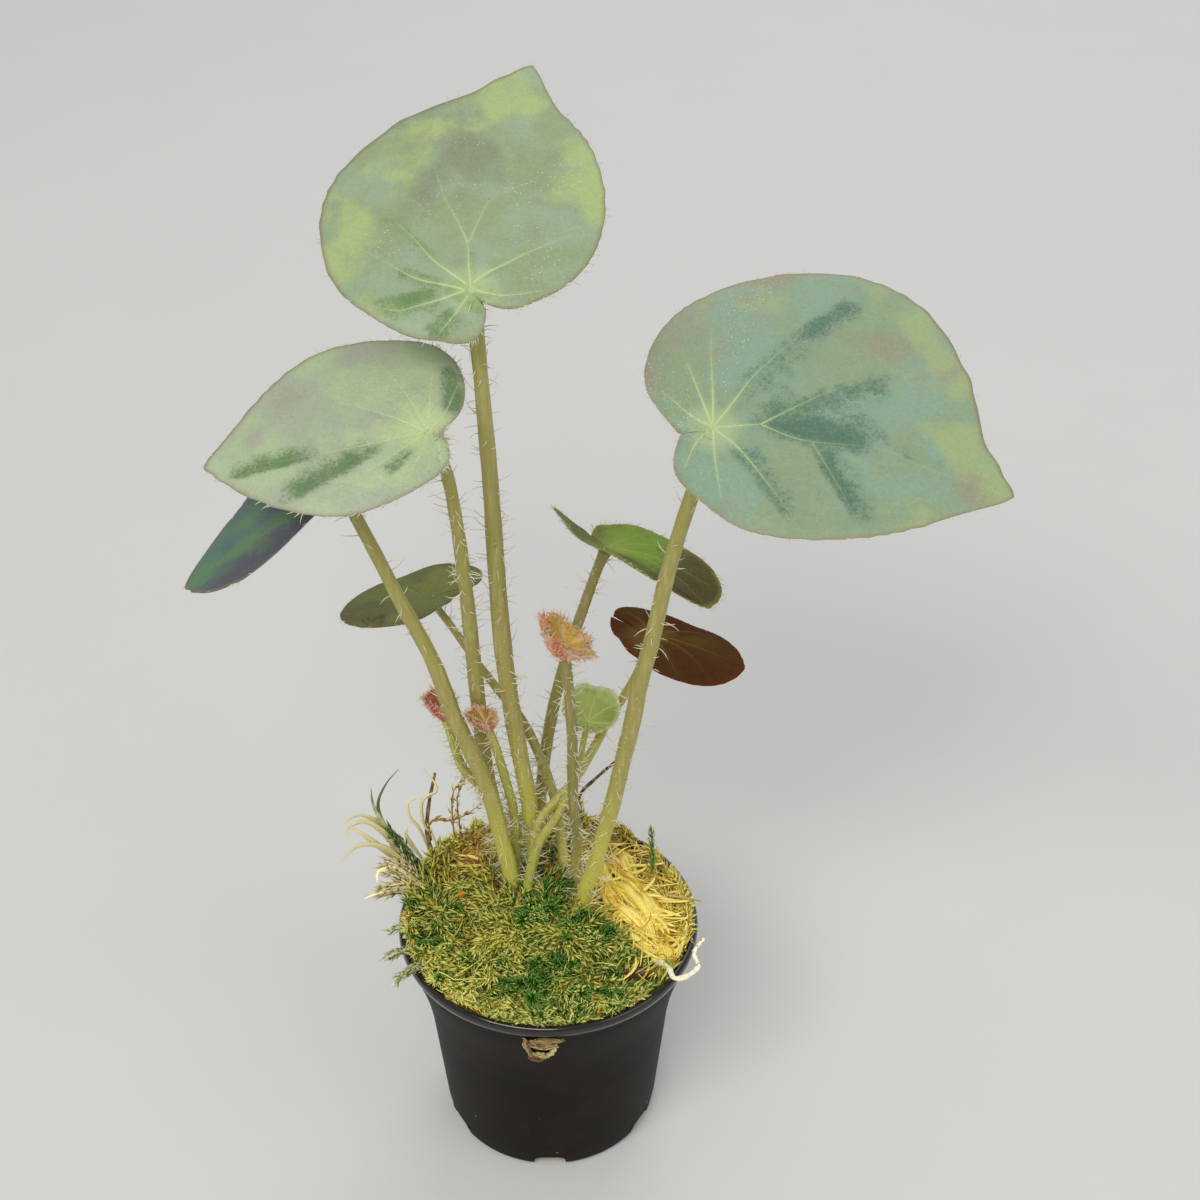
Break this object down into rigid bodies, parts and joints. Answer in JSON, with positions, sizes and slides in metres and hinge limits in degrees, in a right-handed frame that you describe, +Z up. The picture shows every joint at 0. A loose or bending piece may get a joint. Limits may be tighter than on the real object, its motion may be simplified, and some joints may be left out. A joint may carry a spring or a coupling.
{
  "type": "potted begonia",
  "caption": "Young begonia with large round hairy leaves on tall stalks, growing in a domed bed of moss in a thin black plastic nursery pot",
  "frame": {"origin": "centre of the pot's flat base, on the surface it stands on", "axes": "+Z up through the pot's axis, +X to the right and +Y away as in the picture's view"},
  "size_m": [0.2041, 0.12, 0.3123],
  "materials": {
    "pot_plastic": "thin formed black plastic, satin, with a glossy rolled rim and dried white water marks",
    "moss_fill": "packed long-fibred moss, damp, straw to olive",
    "root_tissue": "brown rhizome skin, matt and scarred",
    "leaf_silver": "sage green with a silvery, pinkish and bluish sheen, dark teal patches along the veins, fine hairs",
    "leaf_teal": "dark teal with a green midrib and fine hairs",
    "leaf_green": "soft young green leaf, finely hairy",
    "leaf_bronze": "bronze to maroon, satin, with paler veins",
    "stalk_tissue": "juicy yellow-green stalk, finely ridged, with long pale hairs",
    "sprout_tissue": "red to orange pleated bud under dense pale hairs",
    "dry_scale": "papery orange-brown scale",
    "moss_green": "living star moss, damp green",
    "moss_gold": "golden dry moss strands",
    "moss_brown": "brown fibrous litter",
    "moss_dry": "pale, dry, grey-green to cream moss strand",
    "bark": "dark dry bark and straw"
  },
  "bodies": {
    "root": {"pot": "pot_plastic", "moss_bed": "moss_fill", "rootstock": "root_tissue", "blade_top": "leaf_silver", "blade_left": "leaf_silver", "blade_right": "leaf_silver", "blade_low_left": "leaf_teal", "blade_back_left": "leaf_green", "blade_folded": "leaf_green", "blade_tiny": "leaf_green", "blade_bronze": "leaf_bronze", "stalk_top": "stalk_tissue", "stalk_left": "stalk_tissue", "stalk_right": "stalk_tissue", "stalk_low_left": "stalk_tissue", "stalk_back_left": "stalk_tissue", "stalk_folded": "stalk_tissue", "stalk_tiny": "stalk_tissue", "stalk_bronze": "stalk_tissue", "sprout_red": "sprout_tissue", "sprout_orange": "sprout_tissue", "sprout_pink": "sprout_tissue", "sprout_stalk_red": "stalk_tissue", "sprout_stalk_orange": "stalk_tissue", "sprout_stalk_pink": "stalk_tissue", "stalk_scale_1": "dry_scale", "stalk_scale_2": "dry_scale", "stalk_scale_3": "dry_scale", "green_moss": "moss_green", "yellow_fibres": "moss_gold", "brown_fibres": "moss_brown", "claw_moss": "moss_dry", "rim_strand_1": "moss_dry", "rim_strand_2": "moss_dry", "rim_strand_3": "moss_dry", "curl_strand": "moss_dry", "moss_scrap": "moss_brown", "moss_shoot": "moss_green", "bark_strip": "bark", "dry_straw": "bark", "dry_stalk": "bark"}
  },
  "joints": []
}
